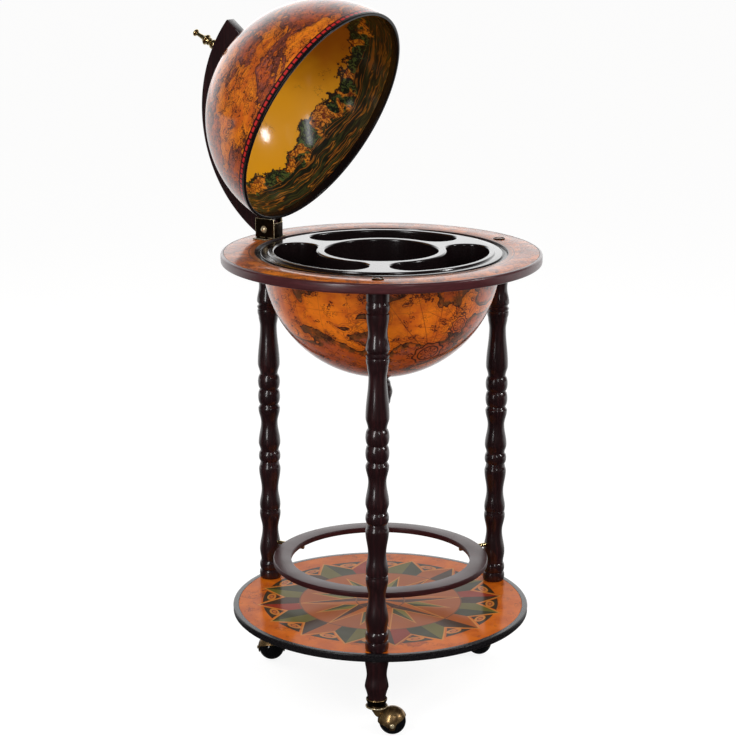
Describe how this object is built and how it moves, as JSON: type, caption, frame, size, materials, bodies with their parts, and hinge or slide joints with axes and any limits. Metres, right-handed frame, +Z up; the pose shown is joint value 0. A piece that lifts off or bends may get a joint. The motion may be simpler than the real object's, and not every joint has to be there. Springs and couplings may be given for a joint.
{
  "type": "floor globe bar",
  "caption": "Floor globe drinks cabinet: the half-globe lid tilts back on a curved arm over a round table with a welled tray, on turned legs with a bottle shelf and ball casters.",
  "frame": {"origin": "centre of the shelf's top face, on the globe's axis", "axes": "+Z up, +Y towards the leg that carries the lid's hinge, +X to the right when looking along +Y"},
  "size_m": [0.452, 0.546, 0.9915],
  "materials": {
    "map_print": "antique map print under satin lacquer",
    "globe_print": "antique map print under gloss lacquer on moulded fibre",
    "mahogany": "very dark red-brown semi-gloss lacquer",
    "dark_edge": "black-brown satin",
    "tray_black": "glossy black-brown",
    "antique_brass": "antique brass, darkened",
    "steel": "zinc plated",
    "ball_black": "glossy black"
  },
  "bodies": {
    "frame": {"table_board": "map_print", "table_edge": "mahogany", "bowl": "globe_print", "bowl_rim": "mahogany", "tray": "tray_black", "bowl_drop": "mahogany", "bowl_drop_screw": "steel", "bottle_ring": "mahogany", "shelf": "map_print", "shelf_edge": "dark_edge", "hinge_bracket": "antique_brass", "hinge_bolt": "antique_brass", "hinge_nut": "antique_brass", "bracket_screw_1": "antique_brass", "bracket_screw_2": "antique_brass", "bracket_screw_3": "antique_brass", "bracket_screw_4": "antique_brass", "leg_hinge_side": "mahogany", "leg_left": "mahogany", "leg_right": "mahogany", "leg_screw_hinge_side": "steel", "leg_screw_left": "steel", "leg_screw_right": "steel", "screw_cap_left": "antique_brass", "screw_cap_right": "antique_brass", "foot_hinge_side": "mahogany", "foot_left": "mahogany", "foot_right": "mahogany", "leg_stud_hinge_side": "steel", "leg_stud_left": "steel", "leg_stud_right": "steel", "ring_pin_hinge_side": "antique_brass", "ring_pin_left": "antique_brass", "ring_pin_right": "antique_brass", "caster_cup_hinge_side": "antique_brass", "caster_cup_left": "antique_brass", "caster_cup_right": "antique_brass"},
    "arm": {"lid_arm": "mahogany", "finial": "antique_brass", "finial_washer": "antique_brass", "pole_spacer": "antique_brass", "pole_washer": "steel", "pole_nut": "steel"},
    "lid": {"lid_shell": "globe_print", "lid_lip": "dark_edge"},
    "swivel_hinge_side": {"caster_horn_hinge_side": "antique_brass", "caster_axle_hinge_side": "steel"},
    "swivel_left": {"caster_horn_left": "antique_brass", "caster_axle_left": "steel"},
    "swivel_right": {"caster_horn_right": "antique_brass", "caster_axle_right": "steel"},
    "ball_hinge_side": {"caster_ball_hinge_side": "ball_black"},
    "ball_left": {"caster_ball_left": "ball_black"},
    "ball_right": {"caster_ball_right": "ball_black"}
  },
  "joints": [
    {"name": "lid_hinge", "type": "hinge", "parent": "frame", "child": "arm", "pos_m": [0, 0.1925, 0.5345], "axis": [1, 0, 0], "range_deg": [0, 63.8]},
    {"name": "lid_spin", "type": "hinge", "parent": "arm", "child": "lid", "pos_m": [0, 0.0954, 0.70126], "axis": [0, 0.8973, 0.4415], "continuous": true},
    {"name": "caster_swivel_hinge_side", "type": "hinge", "parent": "frame", "child": "swivel_hinge_side", "pos_m": [0, 0.194, -0.09], "axis": [0, 0, 1], "continuous": true},
    {"name": "caster_swivel_left", "type": "hinge", "parent": "frame", "child": "swivel_left", "pos_m": [-0.16801, -0.097, -0.09], "axis": [0, 0, 1], "continuous": true},
    {"name": "caster_swivel_right", "type": "hinge", "parent": "frame", "child": "swivel_right", "pos_m": [0.16801, -0.097, -0.09], "axis": [0, 0, 1], "continuous": true},
    {"name": "caster_roll_hinge_side", "type": "hinge", "parent": "swivel_hinge_side", "child": "ball_hinge_side", "pos_m": [-0.01802, 0.18138, -0.1047], "axis": [0.5736, -0.8192, 0], "continuous": true},
    {"name": "caster_roll_left", "type": "hinge", "parent": "swivel_left", "child": "ball_left", "pos_m": [-0.15701, -0.11605, -0.1047], "axis": [0.866, 0.5, 0], "continuous": true},
    {"name": "caster_roll_right", "type": "hinge", "parent": "swivel_right", "child": "ball_right", "pos_m": [0.16609, -0.07508, -0.1047], "axis": [-0.9962, -0.0872, 0], "continuous": true}
  ]
}
